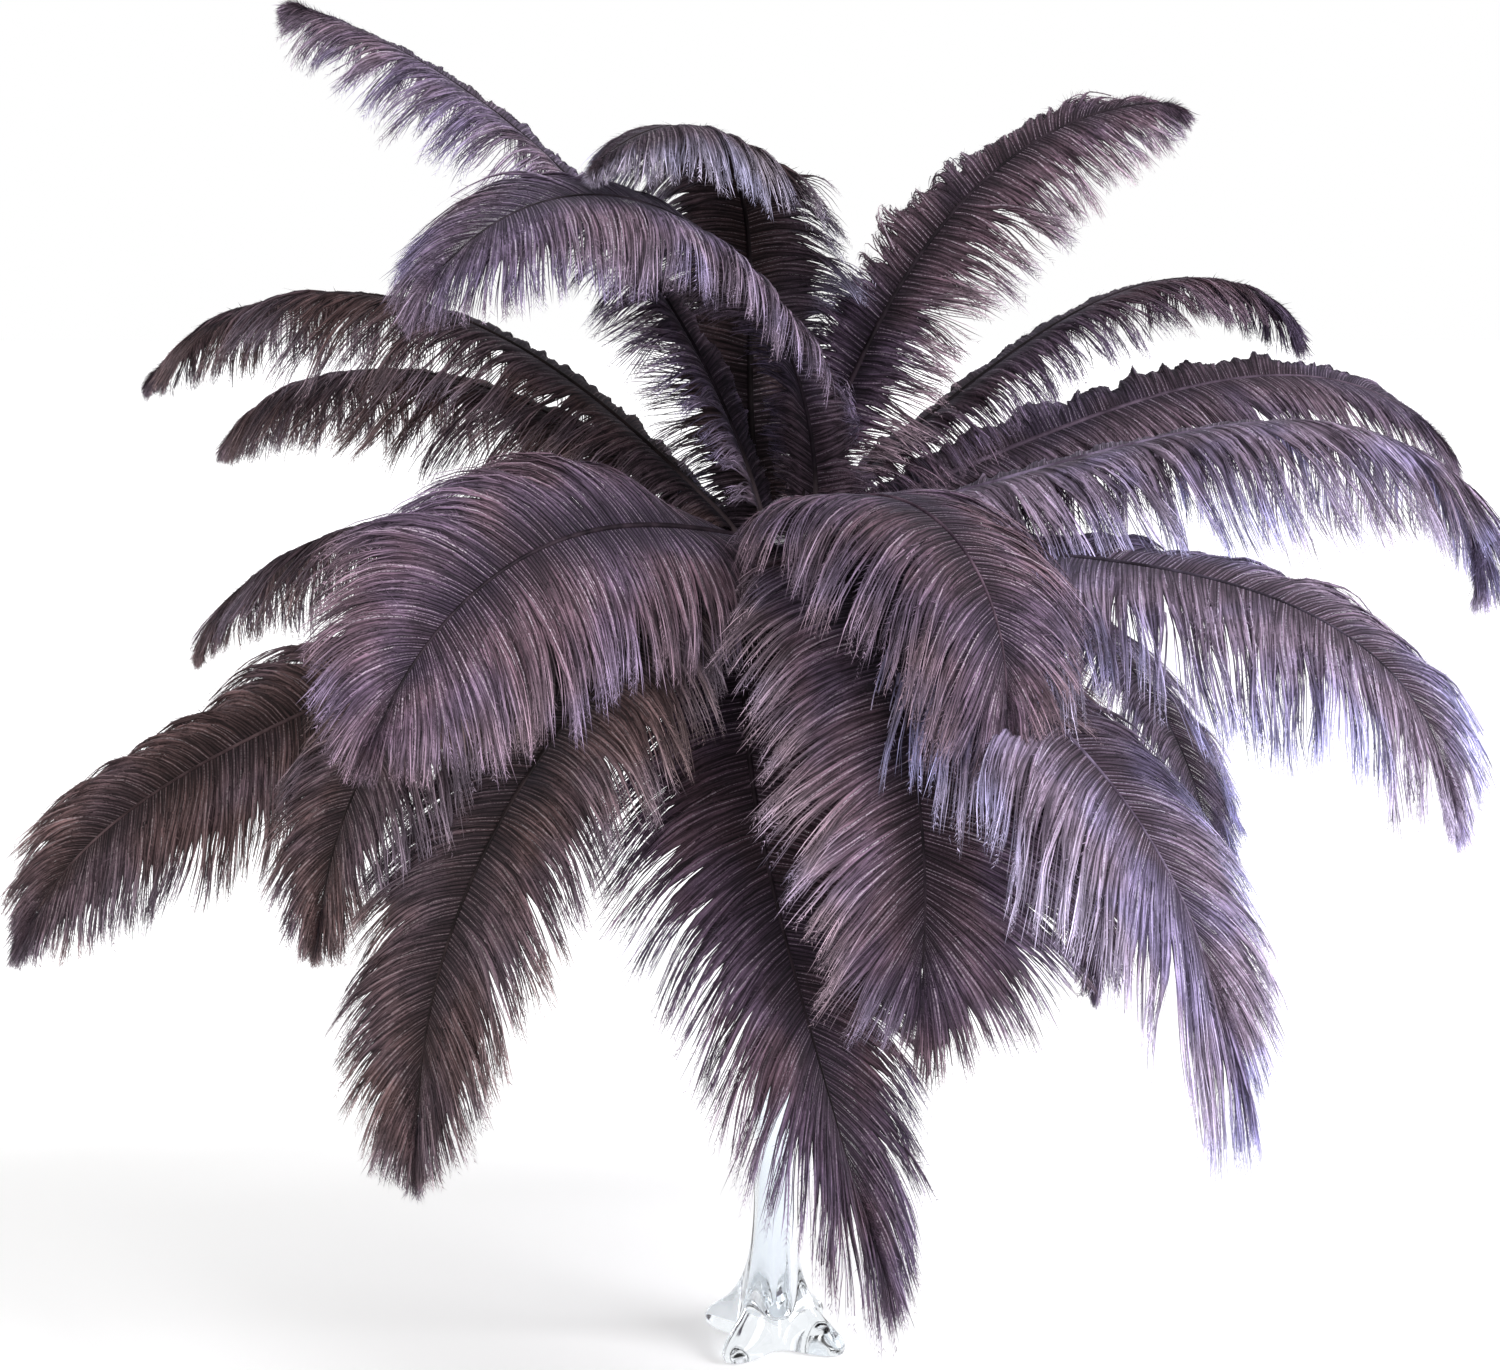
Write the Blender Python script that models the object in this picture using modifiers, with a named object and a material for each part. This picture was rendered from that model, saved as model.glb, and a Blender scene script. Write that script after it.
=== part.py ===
"""Bouquet of dyed ostrich feathers standing in a slim glass vase.

Metres, +Z up.  The origin is the centre of the vase's flat underside.  Azimuths are
measured in plan from +X towards +Y, and the bouquet's front faces -Y.
"""
import math

import bpy
import numpy as np

# ---------------------------------------------------------------- vase, driving dimensions
VASE_HEIGHT = 0.465
MOUTH_RADIUS = 0.033
FOOT_REACH = 0.051          # from the axis to the tip of each of the four feet
FOOT_WAIST = 0.0235         # from the axis to the hollow between two feet
FOOT_TURN = -34.0           # azimuth of the first foot, degrees
FOOT_SHARPNESS = 1.7        # how narrow the feet are in plan
FOOT_COUNT = 4
VASE_SIDES = 32
GLASS_FLOOR = 0.014         # thickness of the solid glass under the hollow

# Outside of the glass, bottom to top: height, reach of the ridges, reach of the hollows.
OUTSIDE = (
    (0.000, FOOT_REACH - 0.001, FOOT_WAIST),
    (0.004, FOOT_REACH, FOOT_WAIST),
    (0.009, 0.0480, 0.0232),
    (0.014, 0.0415, 0.0226),
    (0.020, 0.0340, 0.0215),
    (0.028, 0.0275, 0.0200),
    (0.038, 0.0220, 0.0182),
    (0.050, 0.0180, 0.0160),
    (0.065, 0.0150, 0.0140),
    (0.085, 0.0130, 0.0127),
    (0.120, 0.0122, 0.0122),
    (0.170, 0.0125, 0.0125),
    (0.240, 0.0138, 0.0138),
    (0.310, 0.0160, 0.0160),
    (0.350, 0.0180, 0.0180),
    (0.400, 0.0232, 0.0232),
    (0.440, 0.0284, 0.0284),
    (0.461, MOUTH_RADIUS - 0.0005, MOUTH_RADIUS - 0.0005),
    (VASE_HEIGHT, MOUTH_RADIUS - 0.0012, MOUTH_RADIUS - 0.0012),
)

# Inside of the glass, top to bottom: radius, height.  It runs past the rim as a cutter.
INSIDE = (
    (0.0000, VASE_HEIGHT + 0.010),
    (0.0312, VASE_HEIGHT + 0.010),
    (0.0312, VASE_HEIGHT + 0.001),
    (0.0300, 0.4610),
    (0.0254, 0.4400),
    (0.0206, 0.4000),
    (0.0150, 0.3500),
    (0.0130, 0.3100),
    (0.0108, 0.2400),
    (0.0095, 0.1700),
    (0.0092, 0.1200),
    (0.0098, 0.0850),
    (0.0110, 0.0650),
    (0.0126, 0.0480),
    (0.0138, 0.0340),
    (0.0140, 0.0240),
    (0.0130, GLASS_FLOOR + 0.004),
    (0.0090, GLASS_FLOOR),
    (0.0000, GLASS_FLOOR),
)

# ---------------------------------------------------------------- quills in the neck
THROAT_HEIGHT = 0.350       # where the narrowing neck wedges the quill tips
QUILL_RADIUS = 0.0021
SHAFT_TIP_RADIUS = 0.0006
QUILL_SIDES = 8
SPREAD = 2.0                # spacing at the mouth over the spacing in the throat
RIM_BEND = 0.060            # length over which a shaft leans out after the mouth
ROLL_REACH = 0.150          # length over which a rolled vane tips over
RINGS = {                   # ring name: radius in the throat, number of places
    "core": (0.0026, 3),
    "middle": (0.0073, 9),
    "outer": (0.0120, 15),
}

# ---------------------------------------------------------------- barbs of every feather
BARB_OPENING = 74.0         # degrees between shaft and barb where the vane starts
BARB_CLOSING = 34.0         # degrees by which that angle has shut at the tip
BARB_SAG = 12.0             # pull of gravity per metre of barb
BARB_FORWARD = 0.8          # how far a barb turns towards the tip
BARB_STEPS = 8
FULL_WIDTH_AT = 0.35        # share of the vane where the barbs reach their full length
FIRST_BARB = 0.15           # length of the first barbs, over the full length
TAPER_FROM = 0.55           # share of the vane where the barbs start to shorten
TAPER_BY = 0.65             # share of their length that they lose by the tip
TAPER_POWER = 1.5
VANE_HALF_THICKNESS = 0.0008
VANE_GAP = 0.004            # last bare stretch of the shaft, just before the barbs
VANE_STATIONS = 15
BEND_STATIONS = 4
SHAFT_STEPS = 240
SHARP_ANGLE = 50.0          # degrees between faces that meet in a crisp edge

# Each feather: place in the neck, then its course.  azimuth and lean (from vertical) are
# those just past the mouth, droop is how far it turns down by its tip, and late says how
# much of that happens near the tip (1 is an even curve).  sweep turns the azimuth along
# the way, and roll tips the vane.  Angles are degrees, lengths metres: length runs from
# the mouth to the shaft's tip, bare from the mouth to the first barbs, and barb is the
# longest barb.
FEATHERS = {
    "feather_tall_left": dict(
        ring="core", place=2, azimuth=168, lean=17, droop=54, late=1.0,
        sweep=0, roll=0, length=0.475, bare=0.25, barb=0.080),
    "feather_top_curled": dict(
        ring="core", place=1, azimuth=292, lean=-30, droop=154, late=1.1,
        sweep=-66, roll=0, length=0.42, bare=0.055, barb=0.070),
    "feather_front_arch": dict(
        ring="outer", place=14, azimuth=222, lean=2, droop=130, late=1.1,
        sweep=0, roll=-22, length=0.43, bare=0.055, barb=0.092),
    "feather_tall_right": dict(
        ring="core", place=0, azimuth=12, lean=22, droop=68, late=2.1,
        sweep=0, roll=38, length=0.40, bare=0.150, barb=0.068),
    "feather_right_slim": dict(
        ring="middle", place=2, azimuth=22, lean=54, droop=72, late=3.5,
        sweep=0, roll=0, length=0.42, bare=0.055, barb=0.045),
    "feather_right_high": dict(
        ring="middle", place=1, azimuth=22, lean=70.5, droop=57, late=3.3,
        sweep=0, roll=30, length=0.50, bare=0.120, barb=0.050),
    "feather_right_long": dict(
        ring="middle", place=0, azimuth=5, lean=74, droop=100, late=4.0,
        sweep=0, roll=0, length=0.48, bare=0.055, barb=0.090),
    "feather_right_low": dict(
        ring="outer", place=0, azimuth=-24, lean=92, droop=76, late=3.4,
        sweep=0, roll=15, length=0.432, bare=0.055, barb=0.105),
    "feather_right_back": dict(
        ring="outer", place=1, azimuth=25, lean=98, droop=72, late=1.2,
        sweep=0, roll=0, length=0.42, bare=0.055, barb=0.080),
    "feather_front_right_short": dict(
        ring="middle", place=7, azimuth=-54, lean=62, droop=118, late=1.2,
        sweep=0, roll=0, length=0.29, bare=0.055, barb=0.105),
    "feather_front_left_broad": dict(
        ring="middle", place=6, azimuth=236, lean=80, droop=60, late=1.7,
        sweep=0, roll=-45, length=0.375, bare=0.055, barb=0.1),
    "feather_front_broad": dict(
        ring="outer", place=12, azimuth=-67, lean=98, droop=92, late=0.9,
        sweep=0, roll=0, length=0.34, bare=0.055, barb=0.12),
    "feather_front_right_hanging": dict(
        ring="outer", place=13, azimuth=-42, lean=115, droop=48, late=2.2,
        sweep=0, roll=0, length=0.39, bare=0.190, barb=0.100),
    "feather_back_right_hanging": dict(
        ring="outer", place=2, azimuth=45, lean=108, droop=66, late=1.0,
        sweep=0, roll=0, length=0.49, bare=0.055, barb=0.085),
    "feather_front_hanging": dict(
        ring="outer", place=11, azimuth=-106, lean=132, droop=32, late=0.6,
        sweep=87, roll=0, length=0.418, bare=0.055, barb=0.088),
    "feather_front_left_hanging": dict(
        ring="outer", place=10, azimuth=233, lean=116, droop=62, late=2.0,
        sweep=0, roll=0, length=0.44, bare=0.055, barb=0.105),
    "feather_far_left": dict(
        ring="outer", place=8, azimuth=195, lean=111, droop=40, late=5.0,
        sweep=0, roll=-44, length=0.48, bare=0.055, barb=0.105),
    "feather_left_low": dict(
        ring="outer", place=9, azimuth=212, lean=96, droop=76, late=1.3,
        sweep=0, roll=-15, length=0.38, bare=0.055, barb=0.095),
    "feather_left_level": dict(
        ring="middle", place=5, azimuth=162, lean=82, droop=62, late=1.8,
        sweep=0, roll=0, length=0.422, bare=0.055, barb=0.075),
    "feather_left_middle": dict(
        ring="middle", place=3, azimuth=149, lean=64, droop=68, late=2.2,
        sweep=0, roll=0, length=0.477, bare=0.055, barb=0.070),
    "feather_left_high": dict(
        ring="middle", place=4, azimuth=162, lean=48, droop=88, late=1.8,
        sweep=0, roll=0, length=0.487, bare=0.055, barb=0.070),
    "feather_back_hanging": dict(
        ring="outer", place=4, azimuth=90, lean=90, droop=80, late=1.0,
        sweep=0, roll=0, length=0.42, bare=0.055, barb=0.090),
    "feather_back_left": dict(
        ring="outer", place=5, azimuth=122, lean=85, droop=80, late=1.2,
        sweep=0, roll=0, length=0.40, bare=0.055, barb=0.090),
}

PLUM = (0.105, 0.075, 0.115, 1.0)
CLEAR = (0.86, 0.91, 0.95, 0.35)


# ---------------------------------------------------------------- helpers
def empty_the_scene():
    for leftover in list(bpy.data.objects):
        bpy.data.objects.remove(leftover)


def new_collection(name):
    collection = bpy.data.collections.new(name)
    bpy.context.scene.collection.children.link(collection)
    return collection


def new_material(name, colour, roughness, transmission=0.0):
    material = bpy.data.materials.new(name)
    material.use_nodes = True
    shader = material.node_tree.nodes["Principled BSDF"]
    shader.inputs["Base Color"].default_value = colour
    shader.inputs["Roughness"].default_value = roughness
    shader.inputs["Metallic"].default_value = 0.0
    shader.inputs["Transmission Weight"].default_value = transmission
    return material


def lofted(name, rings, first_cap, last_cap, material, collection, thin=False):
    """One closed body through rings of equal size, each end closed by the faces given.

    A thin sheet's upper skin is the first half of every ring and its lower skin the rest.
    Faces that lie over each other are split along the same diagonal there, so that the
    skins stay parallel where the sheet twists.
    """
    size = len(rings[0])
    points = [tuple(point) for ring in rings for point in ring]
    faces = []
    for row in range(len(rings) - 1):
        low = row * size
        high = low + size
        for k in range(size):
            after = (k + 1) % size
            corners = (low + k, low + after, high + after, high + k)
            if not thin:
                faces.append(corners)
                continue
            start = 0 if k < size // 2 else 1
            turned = corners[start:] + corners[:start]
            faces += [turned[:3], (turned[0], turned[2], turned[3])]
    last = (len(rings) - 1) * size
    faces += [tuple(reversed(face)) for face in first_cap]
    faces += [tuple(last + k for k in face) for face in last_cap]
    mesh = bpy.data.meshes.new(name)
    mesh.from_pydata(points, [], faces)
    mesh.shade_smooth()
    mesh.set_sharp_from_angle(angle=math.radians(SHARP_ANGLE))
    mesh.materials.append(material)
    piece = bpy.data.objects.new(name, mesh)
    collection.objects.link(piece)
    return piece


# ---------------------------------------------------------------- vase
def star_ring(height, ridge, hollow):
    """A plan outline at one height: four rounded points at ridge, four hollows between."""
    angles = np.linspace(0.0, 2.0 * math.pi, VASE_SIDES, endpoint=False)
    angles = angles + math.radians(FOOT_TURN)
    wave = (1.0 + np.cos(FOOT_COUNT * (angles - math.radians(FOOT_TURN)))) / 2.0
    radius = hollow + (ridge - hollow) * wave ** FOOT_SHARPNESS
    return np.stack(
        [radius * np.cos(angles), radius * np.sin(angles), np.full_like(angles, height)], 1)


def turned_cutter(name, profile, cutters):
    """The profile (radius, height), run down its outer side, turned about the Z axis."""
    mesh = bpy.data.meshes.new(name)
    points = [(radius, 0.0, height) for radius, height in profile]
    mesh.from_pydata(points, [(k, k + 1) for k in range(len(points) - 1)], [])
    cutter = bpy.data.objects.new(name, mesh)
    cutters.objects.link(cutter)
    screw = cutter.modifiers.new("turn", "SCREW")
    screw.steps = VASE_SIDES
    screw.render_steps = VASE_SIDES
    screw.use_merge_vertices = True
    screw.merge_threshold = 0.00001
    cutter.hide_render = True
    cutter.display_type = "WIRE"
    return cutter


def make_vase(material, parts, cutters):
    rings = [star_ring(*row) for row in OUTSIDE]
    whole_ring = [tuple(range(VASE_SIDES))]
    vase = lofted("vase", rings, whole_ring, whole_ring, material, parts)
    hollow = vase.modifiers.new("hollow", "BOOLEAN")
    hollow.operation = "DIFFERENCE"
    hollow.solver = "EXACT"
    hollow.object = turned_cutter("vase_hollow", INSIDE, cutters)
    return vase


# ---------------------------------------------------------------- feathers
def eased(share):
    share = np.clip(share, 0.0, 1.0)
    return share * share * (3.0 - 2.0 * share)


def unit(vectors):
    return vectors / np.linalg.norm(vectors, axis=-1, keepdims=True)


class Course:
    """The shaft of one feather, from its quill tip in the throat to the shaft's tip."""

    def __init__(self, ring, place, azimuth, lean, droop, late, sweep, roll, length, bare,
                 barb):
        radius, places = RINGS[ring]
        turn = 2.0 * math.pi * place / places
        plan = np.array([radius * math.cos(turn), radius * math.sin(turn), 0.0])
        quill_tip = plan + np.array([0.0, 0.0, THROAT_HEIGHT])
        at_mouth = SPREAD * plan + np.array([0.0, 0.0, VASE_HEIGHT])
        self.inside = float(np.linalg.norm(at_mouth - quill_tip))
        self.length = length
        self.bare = bare
        self.barb = barb
        self.past = np.linspace(0.0, self.inside + length, SHAFT_STEPS) - self.inside

        leaning = eased(self.past / RIM_BEND)[:, None]
        share = np.clip((self.past - RIM_BEND) / (length - RIM_BEND), 0.0, 1.0)
        tilt = np.radians(lean + droop * share ** late)
        heading = np.radians(azimuth + sweep * share)
        outward = np.stack(
            [np.sin(tilt) * np.cos(heading), np.sin(tilt) * np.sin(heading), np.cos(tilt)], 1)
        straight = (at_mouth - quill_tip) / self.inside
        along = unit((1.0 - leaning) * straight + leaning * outward)

        step = self.past[1] - self.past[0]
        moves = (along[1:] + along[:-1]) / 2.0 * step
        self.points = np.vstack([quill_tip, quill_tip + np.cumsum(moves, axis=0)])
        self.along = along

        side = np.stack([-np.sin(heading), np.cos(heading), np.zeros_like(heading)], 1)
        side = unit(side - np.sum(side * along, 1, keepdims=True) * along)
        up = np.cross(along, side)
        tipped = (math.radians(roll) * eased(self.past / ROLL_REACH))[:, None]
        self.side = np.cos(tipped) * side + np.sin(tipped) * up
        self.up = np.cross(along, self.side)

    def at(self, past):
        """Point, direction, side and upper normal at a distance past the mouth."""
        where = np.interp(past, self.past, np.arange(SHAFT_STEPS))
        low = int(min(where, SHAFT_STEPS - 2))
        share = where - low
        return [(1.0 - share) * row[low] + share * row[low + 1]
                for row in (self.points, self.along, self.side, self.up)]

    def shaft_radius(self, past):
        worn = eased(past / self.length)
        return QUILL_RADIUS + (SHAFT_TIP_RADIUS - QUILL_RADIUS) * worn


def barb_line(course, share, hand):
    """The middle line of the barb that leaves the shaft at this share of the vane."""
    past = course.bare + (course.length - course.bare) * share
    start, along, side, _ = course.at(past)
    grown = FIRST_BARB + (1.0 - FIRST_BARB) * eased(share / FULL_WIDTH_AT)
    tapering = max(0.0, (share - TAPER_FROM) / (1.0 - TAPER_FROM))
    tapered = 1.0 - TAPER_BY * tapering ** TAPER_POWER
    length = course.barb * grown * tapered
    opening = math.radians(BARB_OPENING - BARB_CLOSING * share ** 3)
    leaving = math.cos(opening) * along + math.sin(opening) * hand * side
    down = np.array([0.0, 0.0, -1.0])
    line = [start]
    for k in range(BARB_STEPS):
        reached = (k + 0.5) / BARB_STEPS
        bent = leaving + BARB_SAG * length * reached * down + BARB_FORWARD * reached * along
        line.append(line[-1] + unit(bent) * length / BARB_STEPS)
    return line


def quill_ring(course, past):
    centre, _, side, up = course.at(past)
    radius = course.shaft_radius(max(past, 0.0))
    angles = np.arange(QUILL_SIDES) * 2.0 * math.pi / QUILL_SIDES
    return [centre + radius * (math.cos(a) * side + math.sin(a) * up) for a in angles]


def vane_ring(course, share):
    """Tips, middles and roots of the two barbs at one station: a ring round a thin sheet."""
    centre, along, side, up = course.at(course.bare + (course.length - course.bare) * share)
    half = BARB_STEPS // 2
    thick = course.shaft_radius(course.length * share)
    left = barb_line(course, share, 1.0)
    right = barb_line(course, share, -1.0)
    left_face = unit(np.cross(along, left[half + 1] - left[half - 1])) * VANE_HALF_THICKNESS
    right_face = unit(np.cross(right[half + 1] - right[half - 1], along)) * VANE_HALF_THICKNESS
    return [
        left[-1], left[half] + left_face, centre + thick * up, right[half] + right_face,
        right[-1], right[half] - right_face, centre - thick * up, left[half] - left_face,
    ]


def make_feather(name, course, material, parts):
    rings = [quill_ring(course, -course.inside), quill_ring(course, 0.0)]
    for k in range(1, BEND_STATIONS + 1):
        rings.append(quill_ring(course, (course.bare - VANE_GAP) * k / BEND_STATIONS))
    for share in np.linspace(0.0, 1.0, VANE_STATIONS):
        rings.append(vane_ring(course, share))
    across = [(0, 1, 7), (1, 2, 6, 7), (2, 3, 5, 6), (3, 4, 5)]
    return lofted(name, rings, across, across, material, parts, thin=True)


def main():
    empty_the_scene()
    parts = new_collection("feather_bouquet")
    cutters = new_collection("cutters")
    glass = new_material("clear_glass", CLEAR, 0.03, transmission=1.0)
    make_vase(glass, parts, cutters)
    for name, course in FEATHERS.items():
        plume = new_material(name + "_dye", PLUM, 0.85)
        make_feather(name, Course(**course), plume, parts)


main()
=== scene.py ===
# %% [markdown]
# # Ostrich feather bouquet in a glass vase
# Twenty-three dyed ostrich feathers stand in a slim clear vase and fan out from its mouth.
# The CAD model gives every feather as a plain thin sheet and the vase as a faceted body.
# This script grows the real look around it: shafts, barbs and their down as meshes, and a
# smooth glass. We load the frame first; its parts stay in the scene, each hidden where a new
# part stands for it. The finished bouquet has to stay the same size.

import math

import bpy
import numpy as np
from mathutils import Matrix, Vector


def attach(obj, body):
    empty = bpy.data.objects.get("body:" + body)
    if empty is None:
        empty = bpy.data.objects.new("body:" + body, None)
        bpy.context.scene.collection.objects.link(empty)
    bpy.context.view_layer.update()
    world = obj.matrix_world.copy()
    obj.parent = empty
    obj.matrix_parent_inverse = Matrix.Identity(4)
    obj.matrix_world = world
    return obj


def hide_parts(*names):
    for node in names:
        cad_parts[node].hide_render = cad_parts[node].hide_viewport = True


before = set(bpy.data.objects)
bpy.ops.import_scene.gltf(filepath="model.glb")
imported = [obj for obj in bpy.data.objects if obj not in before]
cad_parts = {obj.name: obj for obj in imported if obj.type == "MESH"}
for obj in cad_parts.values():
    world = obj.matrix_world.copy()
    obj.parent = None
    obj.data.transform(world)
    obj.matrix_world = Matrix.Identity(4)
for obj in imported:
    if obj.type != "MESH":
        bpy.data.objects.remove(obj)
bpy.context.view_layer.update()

# %% [markdown]
# ## Camera
# The photo was taken from a little above the vase's mouth, about a metre and a half away,
# looking slightly down. Putting a camera where the photographer stood lets us compare the
# render with the photo. A lens is easier to think of as a field of view, so we set that.

# %% camera
CAMERA_PLACE = (-0.015, -1.500, 0.637)
CAMERA_PITCH = 8.6          # degrees below level
CAMERA_VIEW = 33.0          # degrees across the picture


def set_up_camera():
    lens = bpy.data.cameras.new("camera")
    lens.sensor_fit = "HORIZONTAL"
    lens.angle = math.radians(CAMERA_VIEW)
    camera = bpy.data.objects.new("camera", lens)
    camera.location = CAMERA_PLACE
    camera.rotation_euler = (math.radians(90.0 - CAMERA_PITCH), 0.0, 0.0)
    bpy.context.scene.collection.objects.link(camera)
    bpy.context.scene.camera = camera
    return camera


camera = set_up_camera()
print("camera looks down by", CAMERA_PITCH, "degrees")

# %% [markdown]
# ## The courses of the shafts
# Each feather's shaft is a smooth curve: it rises through the vase's neck, leans out over
# the rim and droops under its own weight. We could draw splines by hand, but a handful of
# real measurements (lean, droop, length) keeps every shaft plausible, and the same rule
# in the CAD model puts its solids in the same places.

# %% neck and quills
VASE_HEIGHT = 0.465
THROAT_HEIGHT = 0.350       # where the narrowing neck wedges the quill tips
QUILL_RADIUS = 0.0021
SHAFT_TIP_RADIUS = 0.0006
SPREAD = 2.0                # spacing at the mouth over the spacing in the throat
RIM_BEND = 0.060            # length over which a shaft leans out after the mouth
ROLL_REACH = 0.150          # length over which a rolled vane tips over
RINGS = {                   # ring name: radius in the throat, number of places
    "core": (0.0026, 3),
    "middle": (0.0073, 9),
    "outer": (0.0120, 15),
}
SHAFT_STEPS = 240
LONGEST_BARE = 0.065        # some CAD sheets start later, to stay clear of each other
EARLIER_BARBS = 0.015       # short barbs below the start of the CAD sheets
print(f"quill tips end {VASE_HEIGHT - THROAT_HEIGHT:.3f} m below the mouth")

# %% courses
def eased(share):
    share = np.clip(share, 0.0, 1.0)
    return share * share * (3.0 - 2.0 * share)


def unit(vectors):
    return vectors / np.maximum(np.linalg.norm(vectors, axis=-1, keepdims=True), 1e-12)


class Course:
    """The shaft of one feather, from its quill tip in the throat to the shaft's tip."""

    def __init__(self, ring, place, azimuth, lean, droop, late, sweep, roll, length, bare,
                 barb, limp=1.0, ragged=0.3, forward=1.0, taper=0.66,
                 blunt=2.2, shuts=9.0, uneven=0.0):
        radius, places = RINGS[ring]
        turn = 2.0 * math.pi * place / places
        plan = np.array([radius * math.cos(turn), radius * math.sin(turn), 0.0])
        quill_tip = plan + np.array([0.0, 0.0, THROAT_HEIGHT])
        at_mouth = SPREAD * plan + np.array([0.0, 0.0, VASE_HEIGHT])
        self.inside = float(np.linalg.norm(at_mouth - quill_tip))
        self.length = length
        self.bare = min(bare, LONGEST_BARE) - EARLIER_BARBS
        self.barb = barb
        self.limp = limp
        self.ragged = ragged
        self.forward = forward
        self.taper = taper
        self.blunt = blunt
        self.shuts = shuts
        self.uneven = uneven
        self.past = np.linspace(0.0, self.inside + length, SHAFT_STEPS) - self.inside

        leaning = eased(self.past / RIM_BEND)[:, None]
        share = np.clip((self.past - RIM_BEND) / (length - RIM_BEND), 0.0, 1.0)
        tilt = np.radians(lean + droop * share ** late)
        heading = np.radians(azimuth + sweep * share)
        outward = np.stack(
            [np.sin(tilt) * np.cos(heading), np.sin(tilt) * np.sin(heading), np.cos(tilt)], 1)
        straight = (at_mouth - quill_tip) / self.inside
        self.along = unit((1.0 - leaning) * straight + leaning * outward)

        step = self.past[1] - self.past[0]
        moves = (self.along[1:] + self.along[:-1]) / 2.0 * step
        self.points = np.vstack([quill_tip, quill_tip + np.cumsum(moves, axis=0)])

        side = np.stack([-np.sin(heading), np.cos(heading), np.zeros_like(heading)], 1)
        side = unit(side - np.sum(side * self.along, 1, keepdims=True) * self.along)
        up = np.cross(self.along, side)
        tipped = (math.radians(roll) * eased(self.past / ROLL_REACH))[:, None]
        self.side = np.cos(tipped) * side + np.sin(tipped) * up
        self.up = np.cross(self.along, self.side)

    def at(self, past):
        """Points, directions, sides and upper normals at distances past the mouth."""
        where = np.interp(past, self.past, np.arange(SHAFT_STEPS))
        low = np.minimum(where.astype(int), SHAFT_STEPS - 2)
        share = (where - low)[:, None]
        return [(1.0 - share) * row[low] + share * row[low + 1]
                for row in (self.points, self.along, self.side, self.up)]

    def shaft_radius(self, past):
        worn = eased(past / self.length)
        return QUILL_RADIUS + (SHAFT_TIP_RADIUS - QUILL_RADIUS) * worn


print("a shaft is worked out at", SHAFT_STEPS, "points")
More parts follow.
